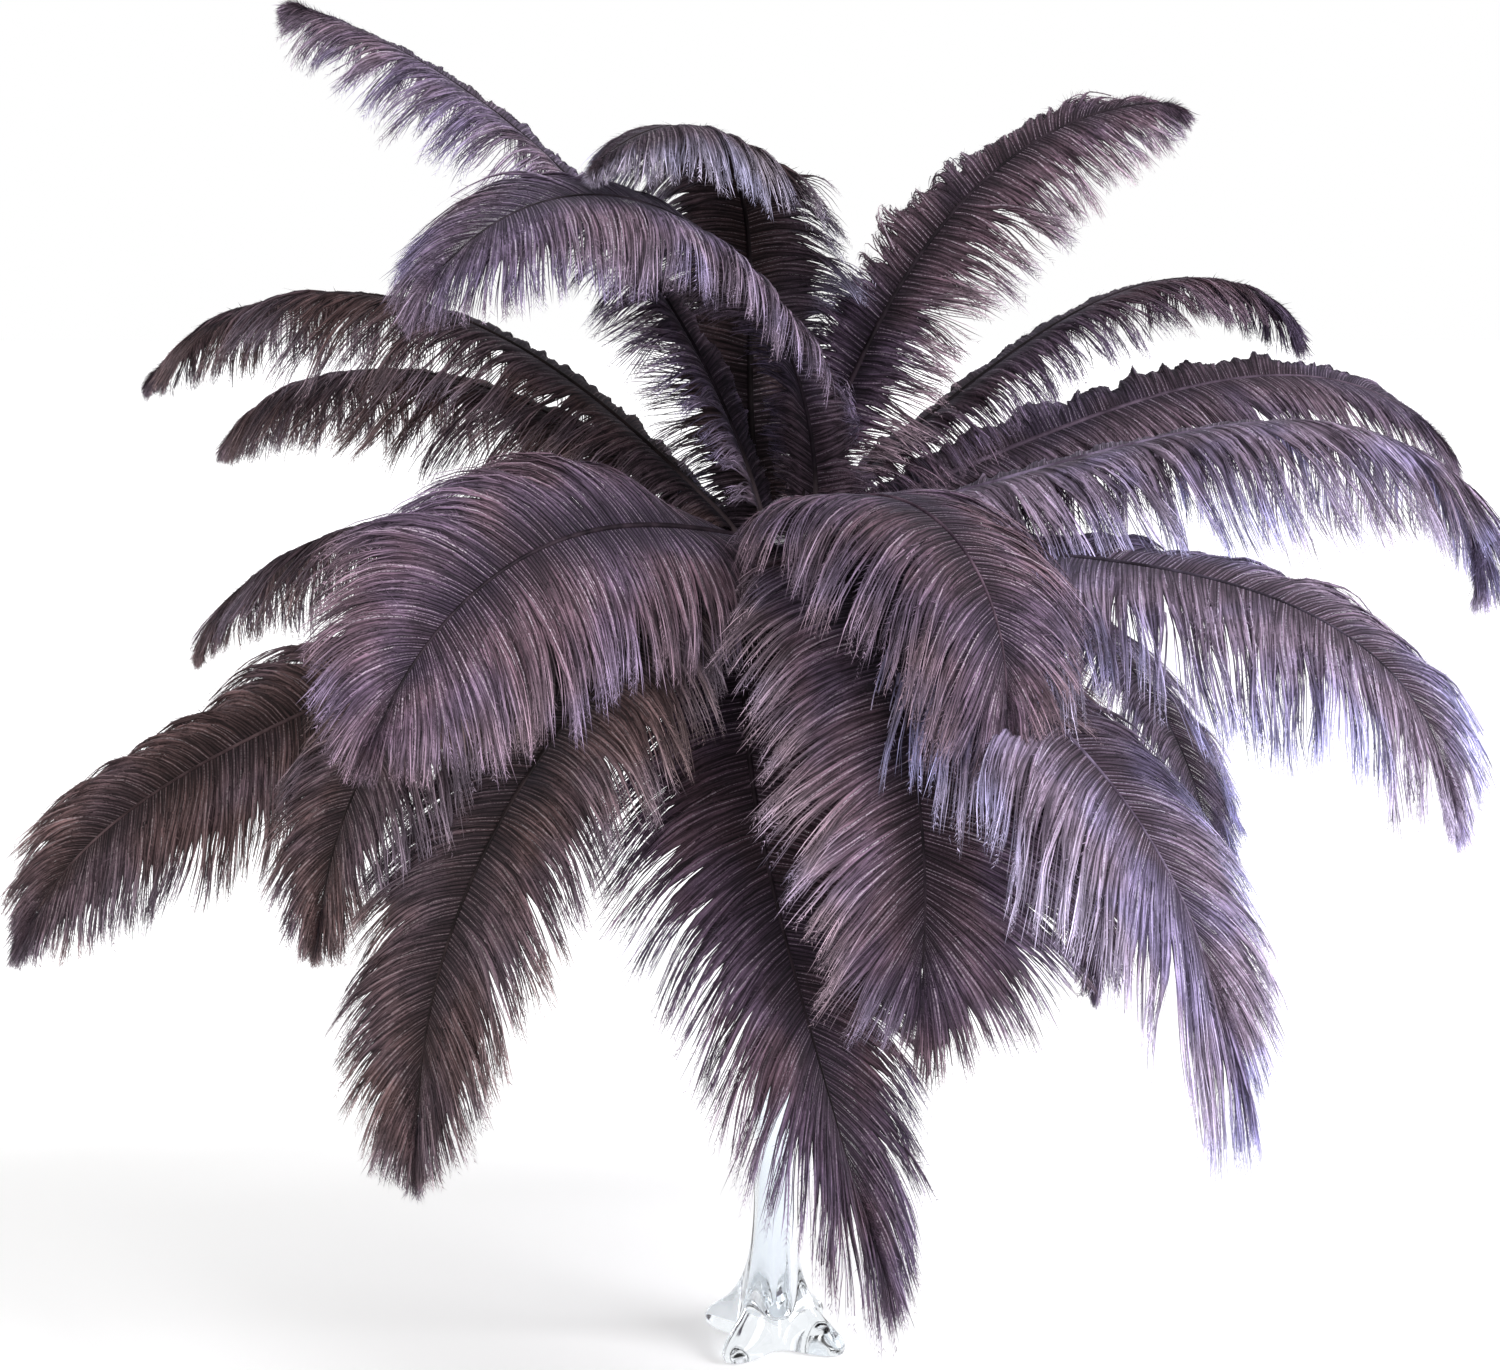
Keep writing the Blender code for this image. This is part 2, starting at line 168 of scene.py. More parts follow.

# %% [markdown]
# ## The feathers
# One entry each. azimuth and lean are those just past the mouth, droop is how far the shaft
# turns down by its tip, and late says how much of that happens near the tip. sweep turns
# the azimuth along the way and roll tips the vane. length runs from the mouth to the
# shaft's tip, bare from the mouth to the first barbs, and barb is the longest barb.
#
# The other words give each feather its character. ragged says how much its barbs stray and
# tear, limp how far they sag, and forward how far they turn towards the tip. taper is how
# much of their length they lose by the tip, blunt how late they lose it, and shuts how late
# they close around the tip. uneven lengthens the left vane, seen from the vase, and shortens
# the right one. Each entry starts with its shade. The dye took differently from plume to
# plume, and the shades also hold painted light and shade: the light blue-lavender of the
# right plumes is partly painted window light, the brown of the left plumes is partly painted
# shade, and the curled plume's shade paints shade under it and a silvery sheen on its tips.

# %% feathers
FEATHERS = {
    "feather_tall_left": ("lavender", dict(
        ring="core", place=2, azimuth=168, lean=17, droop=54, late=1.0,
        sweep=0, roll=0, length=0.475, bare=0.25,
        barb=0.096, ragged=0.7, limp=1.4, taper=0.85)),
    "feather_top_curled": ("shaded_then_sheened", dict(
        ring="core", place=1, azimuth=292, lean=-30, droop=154, late=1.1,
        sweep=-66, roll=0, length=0.42, bare=0.055,
        barb=0.075, ragged=0.6, limp=1.9, taper=0.8)),
    "feather_front_arch": ("lavender", dict(
        ring="outer", place=14, azimuth=222, lean=2, droop=130, late=1.1,
        sweep=0, roll=-22, length=0.43, bare=0.055,
        barb=0.092, ragged=0.55, limp=1.2, taper=0.5)),
    # Its pale shade is partly painted light on a plume that stands in shade.
    "feather_tall_right": ("pale_mauve", dict(
        ring="core", place=0, azimuth=12, lean=22, droop=68, late=2.1,
        sweep=0, roll=38, length=0.40, bare=0.150,
        barb=0.068, ragged=0.9, limp=1.8, forward=2.0)),
    "feather_right_slim": ("plum", dict(
        ring="middle", place=2, azimuth=22, lean=54, droop=72, late=3.5,
        sweep=0, roll=0, length=0.42, bare=0.055,
        barb=0.06, ragged=0.85, limp=1.5, taper=0.3)),
    "feather_right_high": ("lavender", dict(
        ring="middle", place=1, azimuth=22, lean=70.5, droop=57, late=3.3,
        sweep=0, roll=30, length=0.50, bare=0.120,
        barb=0.08, ragged=0.6, limp=1.7, forward=1.4, taper=0.4)),
    "feather_right_long": ("lit_blue_lavender", dict(
        ring="middle", place=0, azimuth=5, lean=74, droop=100, late=4.0,
        sweep=0, roll=0, length=0.48, bare=0.055,
        barb=0.13, ragged=0.6, limp=2.0)),
    "feather_right_low": ("lit_blue_lavender", dict(
        ring="outer", place=0, azimuth=-24, lean=92, droop=76, late=3.4,
        sweep=0, roll=15, length=0.432, bare=0.055,
        barb=0.125, ragged=0.6, limp=1.6)),
    "feather_right_back": ("lit_blue_lavender", dict(
        ring="outer", place=1, azimuth=25, lean=98, droop=72, late=1.2,
        sweep=0, roll=0, length=0.42, bare=0.055,
        barb=0.080, ragged=0.5)),
    "feather_front_right_short": ("mauve", dict(
        ring="middle", place=7, azimuth=-54, lean=62, droop=118, late=1.2,
        sweep=0, roll=0, length=0.29, bare=0.055,
        barb=0.105, ragged=0.6, uneven=-0.14)),
    "feather_front_left_broad": ("mauve", dict(
        ring="middle", place=6, azimuth=236, lean=80, droop=60, late=1.7,
        sweep=0, roll=-45, length=0.375, bare=0.055,
        barb=0.1, ragged=0.22, limp=1.0, taper=0.6)),
    "feather_front_broad": ("pale_mauve", dict(
        ring="outer", place=12, azimuth=-67, lean=98, droop=92, late=0.9,
        sweep=0, roll=0, length=0.34, bare=0.055,
        barb=0.12, ragged=0.15, limp=0.4, forward=0.9, taper=0.5, uneven=0.14)),
    "feather_front_right_hanging": ("lit_blue_lavender", dict(
        ring="outer", place=13, azimuth=-42, lean=115, droop=48, late=2.2,
        sweep=0, roll=0, length=0.39, bare=0.190,
        barb=0.118, ragged=0.3, limp=1.05, forward=0.9, taper=0.38,
        blunt=9.0, shuts=6.0, uneven=-0.18)),
    "feather_back_right_hanging": ("plum", dict(
        ring="outer", place=2, azimuth=45, lean=108, droop=66, late=1.0,
        sweep=0, roll=0, length=0.49, bare=0.055,
        barb=0.085, ragged=0.6)),
    "feather_front_hanging": ("plum", dict(
        ring="outer", place=11, azimuth=-106, lean=132, droop=32, late=0.6,
        sweep=87, roll=0, length=0.418, bare=0.055,
        barb=0.112, ragged=0.5, limp=1.1, forward=0.8, taper=0.38, blunt=9.0, shuts=6.0)),
    "feather_front_left_hanging": ("shaded_brown", dict(
        ring="outer", place=10, azimuth=233, lean=116, droop=62, late=2.0,
        sweep=0, roll=0, length=0.44, bare=0.055,
        barb=0.098, ragged=0.35, taper=0.55)),
    "feather_far_left": ("shaded_brown", dict(
        ring="outer", place=8, azimuth=195, lean=111, droop=40, late=5.0,
        sweep=0, roll=-44, length=0.48, bare=0.055,
        barb=0.098, ragged=0.4, limp=1.6, forward=1.6)),
    "feather_left_low": ("shaded_brown", dict(
        ring="outer", place=9, azimuth=212, lean=96, droop=76, late=1.3,
        sweep=0, roll=-15, length=0.38, bare=0.055,
        barb=0.095, ragged=0.5)),
    "feather_left_level": ("shaded_brown", dict(
        ring="middle", place=5, azimuth=162, lean=82, droop=62, late=1.8,
        sweep=0, roll=0, length=0.422, bare=0.055,
        barb=0.095, ragged=0.85, limp=1.8, taper=0.85)),
    "feather_left_middle": ("shaded_brown", dict(
        ring="middle", place=3, azimuth=149, lean=64, droop=68, late=2.2,
        sweep=0, roll=0, length=0.477, bare=0.055,
        barb=0.095, ragged=0.9, limp=1.8, taper=0.8)),
    "feather_left_high": ("shaded_brown", dict(
        ring="middle", place=4, azimuth=162, lean=48, droop=88, late=1.8,
        sweep=0, roll=0, length=0.487, bare=0.055,
        barb=0.092, ragged=0.9, limp=1.6, taper=0.85)),
    "feather_back_hanging": ("plum", dict(
        ring="outer", place=4, azimuth=90, lean=90, droop=80, late=1.0,
        sweep=0, roll=0, length=0.42, bare=0.055,
        barb=0.090, ragged=0.6)),
    "feather_back_left": ("plum", dict(
        ring="outer", place=5, azimuth=122, lean=85, droop=80, late=1.2,
        sweep=0, roll=0, length=0.40, bare=0.055,
        barb=0.090, ragged=0.6)),
}
longest = max(measures["length"] for shade, measures in FEATHERS.values())
print(len(FEATHERS), "feathers, the longest", longest, "m past the mouth")

# %% [markdown]
# ## Barbs
# An ostrich feather has no hooks to zip its barbs together, so each barb is free: it
# leaves the shaft at a wide angle, turns towards the tip, and hangs. Hair curves would be
# the quick way, but they don't travel to other programs, so we work every barb out as a
# row of points with numpy and turn it into mesh later. Whole rows of barbs are bent at
# once, step by step from the shaft outwards.

# %% barb measures
BARB_OPENING = 76.0         # degrees between shaft and barb where the vane starts
BARB_CLOSING = 82.0         # degrees by which that angle has shut at the tip
BARB_SAG = 1.45             # pull of gravity on a barb's end where the shaft is level
HANGING_SAG = 0.30          # the same over BARB_SAG where the shaft hangs
BARB_FORWARD = 0.55         # how far a barb turns towards the tip
BARB_LIFT = 0.16            # how far a barb rises off the vane before it sags
NEAT_BENDING = 1.7          # power of the bend along a neat barb: above 1 it is near the end
RAGGED_BENDING = 0.65       # how much lower that power is on a ragged one
BARB_ROOT = 0.7             # how far from the shaft's middle a barb starts, over its radius
FULL_WIDTH_AT = 0.26        # share of the vane where the barbs reach their full length
FIRST_BARB = 0.60           # length of the first barbs, over the full length
TAPER_FROM = 0.58           # share of the vane where the barbs start to shorten
BARB_SPACING = 0.00232
PLACE_JITTER = 0.3          # how far a barb stands off its even place, over the spacing
TIP_CROWDING = 1.4          # above 1 the barbs stand closer towards the tip
BARB_STEPS = 9
WAVES_A_BARB = 1.6          # a barb is faintly wavy
NEAT_SWAY = 0.008           # size of its waves at its end, over its length
RAGGED_SWAY = 0.016         # how much larger they are on a ragged feather
SWAY_UP = 0.6               # how far the waves rise off the vane, over their size in it
DOWN = np.array([0.0, 0.0, -1.0])


def barb_count(course):
    """Number of barbs on one side of a shaft."""
    return int(round((course.length - course.bare) / BARB_SPACING))


counts = [2 * barb_count(Course(**measures)) for shade, measures in FEATHERS.values()]
print(min(counts), "to", max(counts), "barbs a feather")

# %% [markdown]
# No two barbs are alike, but neighbours differ little. So whatever varies is a slow wander
# along the vane with a small jump from barb to barb on top, and a ragged feather gets larger
# jumps. One table holds these amounts, so that the rule itself stays short.

# %% variety
VARIETY = {                 # wander, jump, and how much more jump a ragged feather has
    "length": (0.06, 0.02, 0.07),
    "opening": (4.0, 0.5, 1.5),         # degrees
    "lift": (0.05, 0.02, 0.0),
    "curl_side": (0.18, 0.03, 0.14),
    "curl_up": (0.10, 0.03, 0.14),
    "limp": (0.25, 0.03, 0.14),
    "sway": (0.80, 0.0, 0.10),
}
WANDER_LENGTHS = np.geomspace(0.5, 0.05, 5)     # wavelengths, as shares of the vane


def wander(places, rng):
    """Smooth random numbers, mostly between -1 and 1, along places from 0 to 1."""
    total = np.zeros_like(places)
    for wavelength in WANDER_LENGTHS:
        total = total + np.sin(2.0 * math.pi * (places / wavelength + rng.random()))
    return total / math.sqrt(2.0 * len(WANDER_LENGTHS))


def varied(kind, course, places, rng):
    """How far the barbs at these places, from 0 to 1, stray from the rule."""
    slow, jump, ragged_jump = VARIETY[kind]
    jumps = jump + ragged_jump * course.ragged
    return slow * wander(places, rng) + rng.normal(0.0, jumps, len(places))


print("what varies:", ", ".join(VARIETY))


# %% barb lines
def barb_lengths(course, share):
    grown = FIRST_BARB + (1.0 - FIRST_BARB) * eased(share / FULL_WIDTH_AT)
    tapering = np.maximum(0.0, (share - TAPER_FROM) / (1.0 - TAPER_FROM))
    return course.barb * grown * (1.0 - course.taper * tapering ** course.blunt)


def barb_lines(course, hand, count, rng):
    """Points of one side's barbs, (barb, step, xyz), and the shaft's direction at each."""
    share = (np.arange(count) + 0.5 + rng.uniform(-PLACE_JITTER, PLACE_JITTER, count)) / count
    share = 1.0 - (1.0 - share) ** TIP_CROWDING
    past = course.bare + (course.length - course.bare) * share
    start, along, side, up = course.at(past)
    length = 1.0 + hand * course.uneven + varied("length", course, share, rng)
    length = (barb_lengths(course, share) * length)[:, None]
    opening = BARB_OPENING - BARB_CLOSING * share ** course.shuts
    opening = np.radians(opening + varied("opening", course, share, rng))[:, None]
    lift = (BARB_LIFT + varied("lift", course, share, rng))[:, None]
    leaving = np.cos(opening) * along + np.sin(opening) * hand * side + lift * up
    curl_side = varied("curl_side", course, share, rng)[:, None]
    curl_up = varied("curl_up", course, share, rng)[:, None]
    level = np.hypot(along[:, 0], along[:, 1])
    limp = course.limp * BARB_SAG * (HANGING_SAG + (1.0 - HANGING_SAG) * level)
    limp = (limp * (1.0 + varied("limp", course, share, rng)))[:, None]

    line = [start + BARB_ROOT * course.shaft_radius(past)[:, None] * hand * side]
    for k in range(BARB_STEPS):
        reached = (k + 0.5) / BARB_STEPS
        bending = reached ** (NEAT_BENDING - RAGGED_BENDING * course.ragged)
        bent = leaving + limp * bending * DOWN
        bent = bent + (BARB_FORWARD * course.forward + curl_side) * bending * along
        bent = bent + (curl_up - 2.0 * BARB_LIFT) * reached ** 2 * up
        line.append(line[-1] + unit(bent) * length / BARB_STEPS)

    steps = np.linspace(0.0, 1.0, BARB_STEPS + 1)
    phase = varied("sway", course, share, rng)[:, None]
    sway = (NEAT_SWAY + RAGGED_SWAY * course.ragged) * steps * length
    sway = sway * np.sin(2.0 * math.pi * (WAVES_A_BARB * steps + phase))
    return np.stack(line, 1) + sway[..., None] * (along + SWAY_UP * up)[:, None], along


print("a barb is worked out at", BARB_STEPS + 1, "points")

# %% [markdown]
# ## Wisps
# The down of neighbouring barbs catches, so that a few of them cling together towards
# their ends and part again into pointed wisps. We gather each small bunch towards its own
# middle line, more and more along its length, and let whole bunches stray a little. start
# says where along the barbs that begins, grip how tightly they cling, and stray how far the
# bunches wander off. Doing it twice, with small bunches inside large ones, gives the broken
# look of a real edge.

# %% wisps
WISPS = (                   # start, grip and stray: a neat feather's, and what ragged adds
    dict(smallest=2, largest=5, start=(0.55, -0.30), grip=(0.30, 0.35), stray=(0.006, 0.026)),
    dict(smallest=7, largest=18, start=(0.45, -0.20), grip=(0.10, 0.22), stray=(0.010, 0.036)),
)
WEAKEST_GRIP = 0.55         # over the strongest
LOOSE_BUNCHES = 0.12        # share of the bunches that hardly cling
LOOSE_GRIP = 0.2            # their grip over that of the others
FURTHEST_STRAY = 1.6        # over the usual stray


def gathered(lines, rng, ragged, smallest, largest, start, grip, stray):
    """The lines with each run of neighbours drawn together towards their ends."""
    start, grip, stray = [neat + more * ragged for neat, more in (start, grip, stray)]
    ends = np.cumsum(rng.integers(smallest, largest + 1, len(lines)))
    bunch = np.searchsorted(ends, np.arange(len(lines)), side="right")
    bunches = bunch[-1] + 1
    middle = np.zeros((bunches,) + lines.shape[1:])
    np.add.at(middle, bunch, lines)
    middle /= np.bincount(bunch)[:, None, None]
    held = grip * rng.uniform(WEAKEST_GRIP, 1.0, bunches)
    held[rng.random(bunches) < LOOSE_BUNCHES] *= LOOSE_GRIP
    steps = np.linspace(0.0, 1.0, lines.shape[1])
    drawn = held[bunch][:, None] * eased((steps - start) / (1.0 - start))
    length = np.linalg.norm(lines[:, -1] - lines[:, 0], axis=1)
    strays = np.clip(rng.normal(0.0, 1.0, (bunches, 3)), -FURTHEST_STRAY, FURTHEST_STRAY)
    strays = stray * strays[bunch] * length[:, None]
    strays = strays[:, None, :] * (steps ** 2)[None, :, None]
    return lines + drawn[..., None] * (middle[bunch] - lines) + strays


print(len(WISPS), "sizes of wisps")

# %% [markdown]
# ## From lines to down
# Each barb is a thin rib, and its barbules are far too many to build one by one. Near the
# shaft they lie so close that they make a soft web, which reaches the next barb; further out
# the web tears into loose strands, and single barbules make the fringe. So each barb gets a
# narrowing roof of faces, a few pointed strands and a scatter of slim triangles. All of them
# need a frame on the barb: a direction across that doesn't spin as the barb bends. We carry
# the first upper normal along the barb and only straighten it.

# %% frames on the barbs
OVERLAP = 0.60              # reach of a barb's web, over the distance to its neighbour
TWIST = 0.5                 # how far the down usually twists by a barb's end, in radians


def carried_frames(lines, along, hand):
    """Directions along, across and over the down at every point of every barb."""
    tangent = unit(np.gradient(lines, axis=1))
    over = [unit(hand * np.cross(along, tangent[:, 0]))]
    for k in range(1, lines.shape[1]):
        kept = over[-1] - np.sum(over[-1] * tangent[:, k], 1, keepdims=True) * tangent[:, k]
        over.append(unit(kept))
    over = np.stack(over, 1)
    return tangent, np.cross(over, tangent), over


def twisted(across, over, angle):
    turn = angle[..., None]
    return (np.cos(turn) * across + np.sin(turn) * over,
            np.cos(turn) * over - np.sin(turn) * across)


def towards_neighbours(lines):
    """Vectors from every barb just past halfway to its neighbours, (2, barb, step, xyz)."""
    apart = lines[1:] - lines[:-1]
    before = np.concatenate([-apart[:1], -apart])
    after = np.concatenate([apart, apart[-1:]])
    return np.stack([before, after]) * OVERLAP


def no_longer_than(vectors, longest):
    size = np.linalg.norm(vectors, axis=-1, keepdims=True)
    return vectors * np.minimum(1.0, longest / np.maximum(size, 1e-9))


def along_lines(rows, where):
    """Values of rows, (barb, step, xyz), at shares (barb, place) of the barbs' lengths."""
    at = np.clip(where, 0.0, 1.0) * (rows.shape[1] - 1)
    low = np.minimum(at.astype(int), rows.shape[1] - 2)
    share = (at - low)[..., None]
    barb = np.arange(len(rows))[:, None]
    return (1.0 - share) * rows[barb, low] + share * rows[barb, low + 1]


print(f"neighbouring webs overlap by {2.0 * OVERLAP - 1.0:.2f} of the gap between barbs")

# %% [markdown]
# ## A map for the colours
# The shader has to know where on the feather it is. An image would have to be painted, and a
# UV map that is worked out says enough: the barbs stand side by side in columns, one vane
# above and the other below, and a narrow band in the middle holds the shaft.

# %% colour map
MAP_SHAFT_BAND = 0.015      # half height of the band in the middle
MAP_COLUMN = 0.42           # reach of a barb's down on its map, over the column's width


def map_place(hand, number, count, across, reached):
    """Place on the map of a barb's down, across from -1 to 1 and reached from 0 to 1."""
    u = (number + 0.5 + MAP_COLUMN * across) / count
    v = 0.5 + hand * (MAP_SHAFT_BAND + (0.5 - MAP_SHAFT_BAND) * reached)
    return np.stack(np.broadcast_arrays(u, v), -1)


class Down:
    """Collects a feather's faces with their places on its colour map."""

    def __init__(self):
        self.points, self.places, self.quads, self.triangles = [], [], [], []
        self.count = 0

    def add(self, points, places):
        """Adds points, (..., xyz), with places, (..., uv), and returns their numbers."""
        shape = points.shape[:-1]
        number = self.count + np.arange(int(np.prod(shape))).reshape(shape)
        self.points.append(points.reshape(-1, 3))
        self.places.append(places.reshape(-1, 2))
        self.count += number.size
        return number


print("the shaft takes", 2.0 * MAP_SHAFT_BAND, "of the map's height")

# %% [markdown]
# ## The web
# The dense inner down is a low roof along each barb. Its edges reach a little past the
# middle between two barbs, so that neighbours close up. Where barbs part further than the
# down can stretch, and towards their ends, the web tears. One edge lies lower than the
# other, so that the webs lap like tiles and never lie in each other's faces.

# %% web
WIDEST_WEB = 0.0034         # the web tears where its edge would lie further out than this
NARROWEST_WEB = 0.00025     # half width that is left where the web has ended
WEB_TEARS = 0.48            # share of a neat barb's length where its web starts to narrow
RAGGED_TEARS = 0.30         # how much sooner that is on a ragged one
WEB_ENDS = 0.86             # share where a neat barb's web has ended
WEB_ROOF = 0.0004           # how far the lower edge lies below the rib
WEB_LAP = 0.3               # how low the edge nearer the tip lies, over that


def add_web(down, hand, lines, aside, over, ragged):
    """The dense inner part of every barb: a low roof that reaches to its neighbours."""
    count, steps = lines.shape[:2]
    number = np.arange(count)[:, None]
    reached = np.linspace(0.0, 1.0, steps)[None, :]
    torn = WEB_TEARS - RAGGED_TEARS * ragged
    fading = 1.0 - eased((reached - torn) / (WEB_ENDS - WEB_TEARS))
    widest = (WIDEST_WEB * fading + NARROWEST_WEB)[..., None]
    rib = down.add(lines, map_place(hand, number, count, 0.0, reached))
    last = int(math.ceil(WEB_ENDS * (steps - 1))) + 1
    for way, low, vectors in ((-1.0, 1.0, aside[0]), (1.0, WEB_LAP, aside[1])):
        edge = lines + no_longer_than(vectors, widest) - low * WEB_ROOF * over
        edge = down.add(edge, map_place(hand, number, count, way, reached))
        rib_part, edge_part = rib[:, :last], edge[:, :last]
        quads = np.stack([rib_part[:, :-1], edge_part[:, :-1], edge_part[:, 1:],
                          rib_part[:, 1:]], -1)
        if way * hand > 0.0:
            quads = quads[..., ::-1]
        down.quads.append(quads.reshape(-1, 4))


print(f"the web starts to tear at {WEB_TEARS - RAGGED_TEARS:.2f} to {WEB_TEARS:.2f} of a barb")

# %% [markdown]
# ## Loose strands
# Past the torn web the barbules cling together in pointed strands. Each is a slim strip that
# leaves the web, drifts a little out of line and ends in a point. Their uneven lengths make
# the edge soft where the ribs' own ends would make it hard.

# %% strands
STRANDS = (-0.85, -0.45, 0.0, 0.45, 0.85)       # where they leave the web, across it
STRAND_HALF_WIDTH = 0.00042
STRAND_THINS = 0.5          # share of that width lost by the point
STRAND_FROM = 0.30          # share of the barb's length where the strands come loose
STRAND_FROM_JITTER = 0.12
STRAND_STEPS = 5
STRAND_DRIFT = 0.0016       # how far a strand's end usually drifts
RAGGED_DRIFT = 0.0020       # how much further it drifts sideways on a ragged feather
STRAND_RISE = 0.0003        # keeps the strands clear of the web
STRAND_LENGTHS = (0.80, 1.08)   # shortest and longest, over the rest of the barb
STRAND_MAP_PLACE = 0.9      # place across the map's column, over that across the web
STRAND_MAP_WIDTH = 0.10


def add_strands(down, hand, lines, aside, frames, rng, ragged):
    """Loose pointed strands that leave the web and make the soft edge."""
    count = len(lines)
    number = np.arange(count)[:, None]
    each = (count, 1, 1)
    for strand in STRANDS:
        loose = STRAND_FROM + rng.uniform(-STRAND_FROM_JITTER, STRAND_FROM_JITTER, (count, 1))
        where = loose + (1.0 - loose) * np.linspace(0.0, 1.0, STRAND_STEPS + 1)[None, :]
        vectors = abs(strand) * aside[0 if strand < 0.0 else 1]
        offset = along_lines(no_longer_than(vectors, WIDEST_WEB), where)
        across, over = [along_lines(rows, where) for rows in frames[1:]]
        free = ((where - loose) / (1.0 - loose))[..., None]
        drift = rng.normal(0.0, STRAND_DRIFT + RAGGED_DRIFT * ragged, each) * free ** 2 * across
        drift = drift + (rng.normal(0.0, STRAND_DRIFT, each) * free ** 1.5 + STRAND_RISE) * over
        middle = along_lines(lines, where) + offset + drift
        middle = middle[:, :1] + rng.uniform(*STRAND_LENGTHS, each) * (middle - middle[:, :1])
        half = STRAND_HALF_WIDTH * (1.0 - STRAND_THINS * free)
        at = STRAND_MAP_PLACE * strand
        sides = []
        for way in (-1.0, 1.0):
            places = map_place(hand, number, count, at + way * STRAND_MAP_WIDTH, where)
            sides.append(down.add((middle + way * half * across)[:, :-1], places[:, :-1]))
        left, right = sides
        tip = down.add(middle[:, -1], map_place(hand, number, count, at, where)[:, -1])
        quads = np.stack([left[:, :-1], right[:, :-1], right[:, 1:], left[:, 1:]], -1)
        down.quads.append(quads.reshape(-1, 4))
        down.triangles.append(np.stack([left[:, -1], right[:, -1], tip], -1))


print(len(STRANDS), "strands a barb")

# %% [markdown]
# ## Barbules
# The finest fringe is single barbules. A real barb has hundreds of them on either side, but
# a few slim triangles that slant towards the barb's end already give its softness, and the
# shader draws still finer hairs on them.

# %% barbules
BARBULES_A_SIDE = 22
BARBULE_FIRST = 0.04        # share of the barb's length where the first one stands
BARBULE_RUN = 0.95          # share of that length along which they stand
BARBULE_CROWDING = 0.65     # below 1 they stand closer towards the barb's end
BARBULE_LENGTH = 0.0070
BARBULE_LENGTHS = (0.6, 1.2)    # shortest and longest, over BARBULE_LENGTH
BARBULE_SHORTENS = 0.55     # share of the length lost by the barb's end
BARBULE_FOOT = 0.00055      # width of a barbule where it leaves the rib
BARBULE_SLANT = 39.1        # degrees between barb and barbule at the barb's root
SLANT_CLOSES = 15.3         # degrees by which that angle is smaller at the barb's end
SLANT_JITTER = 9.0
BARBULE_RISE = -0.08        # on average they point a little down
BARBULE_SPREAD = 0.22       # how unevenly they stand up and down
BARBULE_MAP = np.array([0.05, 0.05, 1.0])       # its foot and its tip across the map's column


def add_barbules(down, hand, lines, frames, rng):
    """Single barbules on both sides of every rib, one slim triangle each."""
    count = len(lines)
    number = np.arange(count)[:, None, None]
    shape = (count, BARBULES_A_SIDE)
    for way in (-1.0, 1.0):
        where = (np.arange(BARBULES_A_SIDE) + rng.uniform(0.0, 1.0, shape)) / BARBULES_A_SIDE
        where = BARBULE_FIRST + BARBULE_RUN * where ** BARBULE_CROWDING
        root = along_lines(lines, where)
        tangent, across, over = [along_lines(rows, where) for rows in frames]
        slant = BARBULE_SLANT - SLANT_CLOSES * where + rng.normal(0.0, SLANT_JITTER, shape)
        slant = np.radians(slant)[..., None]
        rise = rng.normal(BARBULE_RISE, BARBULE_SPREAD, shape)[..., None]
        pointing = unit(np.cos(slant) * tangent + way * np.sin(slant) * across + rise * over)
        reach = BARBULE_LENGTH * (1.0 - BARBULE_SHORTENS * where ** 3)
        reach = (reach * rng.uniform(*BARBULE_LENGTHS, shape))[..., None]
        foot = 0.5 * BARBULE_FOOT * tangent
        corners = np.stack([root - foot, root + foot, root + reach * pointing], 2)
        places = map_place(hand, number, count, way * BARBULE_MAP, where[..., None])
        down.triangles.append(down.add(corners, places).reshape(-1, 3))


print(2 * BARBULES_A_SIDE, "barbules a barb")

# %% [markdown]
# ## Shafts
# The shaft is a horn-like tube, thick at the quill and as fine as a hair at its tip. A
# curve with a bevel would do, but building it beside the barbs keeps the feather one piece,
# as it grew. It is a little wider than high, with a shallow groove underneath.

# %% shafts
SHAFT_SIDES = 9
SHAFT_RINGS = 64
SHAFT_WIDTH = 1.10          # over the shaft's mean width
SHAFT_DEPTH = 0.95
GROOVE_DEPTH = 0.22         # over the shaft's radius
SHAFT_ON_MAP = 0.6          # share of its band on the map that the shaft covers


def add_shaft(down, course):
    """The shaft's rings. Gives the number of its side faces, and its two end faces."""
    past = np.linspace(-course.inside, course.length, SHAFT_RINGS)
    centre, _, side, up = course.at(past)
    radius = course.shaft_radius(np.maximum(past, 0.0))[:, None, None]
    angles = np.linspace(0.0, 2.0 * math.pi, SHAFT_SIDES, endpoint=False)[None, :, None]
    groove = 1.0 - GROOVE_DEPTH * np.maximum(0.0, -np.sin(angles)) ** 3
    points = centre[:, None] + radius * groove * (
        SHAFT_WIDTH * np.cos(angles) * side[:, None] + SHAFT_DEPTH * np.sin(angles) * up[:, None])
    u = np.linspace(0.0, 1.0, SHAFT_RINGS)[:, None]
    v = 0.5 + SHAFT_ON_MAP * MAP_SHAFT_BAND * np.cos(angles[..., 0])
    rings = down.add(points, np.stack(np.broadcast_arrays(u, v), -1))
    after = np.roll(rings, -1, axis=1)
    quads = np.stack([rings[:-1], after[:-1], after[1:], rings[1:]], -1).reshape(-1, 4)
    down.quads.append(quads)
    return len(quads), [rings[0, ::-1].tolist(), rings[-1].tolist()]


print("shaft:", SHAFT_RINGS, "rings of", SHAFT_SIDES, "points")

